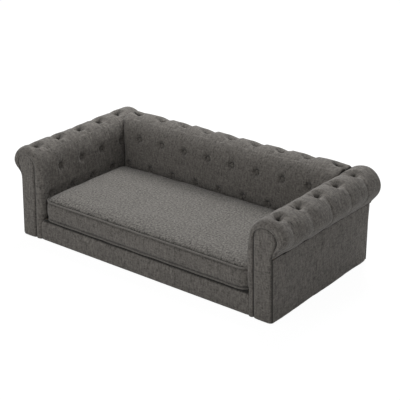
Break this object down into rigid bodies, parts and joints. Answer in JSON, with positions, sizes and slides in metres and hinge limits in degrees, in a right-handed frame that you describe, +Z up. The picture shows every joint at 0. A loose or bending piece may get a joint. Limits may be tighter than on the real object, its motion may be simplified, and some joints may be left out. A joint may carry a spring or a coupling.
{
  "type": "dog sofa bed",
  "caption": "Low chesterfield pet sofa with rolled arms and back, diamond-tufted padding, covered buttons and a loose, piped, zipped seat cushion that lifts out.",
  "frame": {"origin": "on the floor, under the middle of the sofa's whole outline", "axes": "+X towards the arm on the right as seen from the front, +Y towards the back, +Z up"},
  "size_m": [1.07, 0.5401, 0.3252],
  "materials": {
    "upholstery_cloth": "heathered linen weave, matt",
    "trim_cloth": "heathered linen weave, matt",
    "deck_cloth": "plain lining weave, matt",
    "dust_cloth": "bonded cloth, matt",
    "foam": "open-cell foam, matt",
    "zip_tape": "woven tape, matt",
    "softwood": "planed, unfinished",
    "plywood": "sanded, unfinished",
    "zinc_steel": "zinc plated",
    "zip_metal": "dark nickel",
    "black_plastic": "matt moulded"
  },
  "bodies": {
    "sofa": {"base_front_rail": "softwood", "base_rear_rail": "softwood", "base_side_rails": "softwood", "base_cross_rails": "softwood", "base_corner_blocks": "plywood", "platform_board": "plywood", "platform_deck_cloth": "deck_cloth", "front_apron_pad": "upholstery_cloth", "front_border_pads": "upholstery_cloth", "dust_cover": "dust_cloth", "glides": "black_plastic", "glide_nails": "zinc_steel", "left_arm_front_board": "plywood", "left_arm_rear_board": "plywood", "left_arm_rails": "softwood", "left_arm_inner_panel": "plywood", "left_arm_outer_panel": "plywood", "left_arm_roll_former": "plywood", "left_arm_pad": "upholstery_cloth", "left_arm_buttons": "trim_cloth", "left_arm_outer_cover": "upholstery_cloth", "left_arm_front_facing": "upholstery_cloth", "left_arm_facing_welt": "trim_cloth", "left_arm_rear_facing": "upholstery_cloth", "right_arm_front_board": "plywood", "right_arm_rear_board": "plywood", "right_arm_rails": "softwood", "right_arm_inner_panel": "plywood", "right_arm_outer_panel": "plywood", "right_arm_roll_former": "plywood", "right_arm_pad": "upholstery_cloth", "right_arm_buttons": "trim_cloth", "right_arm_outer_cover": "upholstery_cloth", "right_arm_front_facing": "upholstery_cloth", "right_arm_facing_welt": "trim_cloth", "right_arm_rear_facing": "upholstery_cloth", "back_end_boards": "plywood", "back_rails": "softwood", "back_inner_panel": "plywood", "back_outer_panel": "plywood", "back_roll_former": "plywood", "back_pad": "upholstery_cloth", "back_buttons": "trim_cloth", "back_outer_cover": "upholstery_cloth", "assembly_bolts": "zinc_steel", "bolt_washers": "zinc_steel", "tee_nuts": "zinc_steel"},
    "cushion": {"cushion_core": "foam", "cushion_cover": "upholstery_cloth", "cushion_bottom_panel": "upholstery_cloth", "cushion_top_piping": "trim_cloth", "cushion_bottom_piping": "trim_cloth", "zip_tapes": "zip_tape", "zip_chain": "black_plastic"},
    "zip_slider": {"zip_slider": "zip_metal"},
    "zip_pull": {"zip_pull": "zip_metal"}
  },
  "joints": [
    {"name": "cushion_lift", "type": "slide", "parent": "sofa", "child": "cushion", "axis": [0, 0, 1], "range_m": [0, 0.27]},
    {"name": "zip_slide", "type": "slide", "parent": "cushion", "child": "zip_slider", "axis": [1, 0, 0], "range_m": [0, 0.56]},
    {"name": "zip_pull_hinge", "type": "hinge", "parent": "zip_slider", "child": "zip_pull", "pos_m": [-0.288, 0.1272, 0.10483], "axis": [0, 0, 1], "range_deg": [0, 180]}
  ]
}
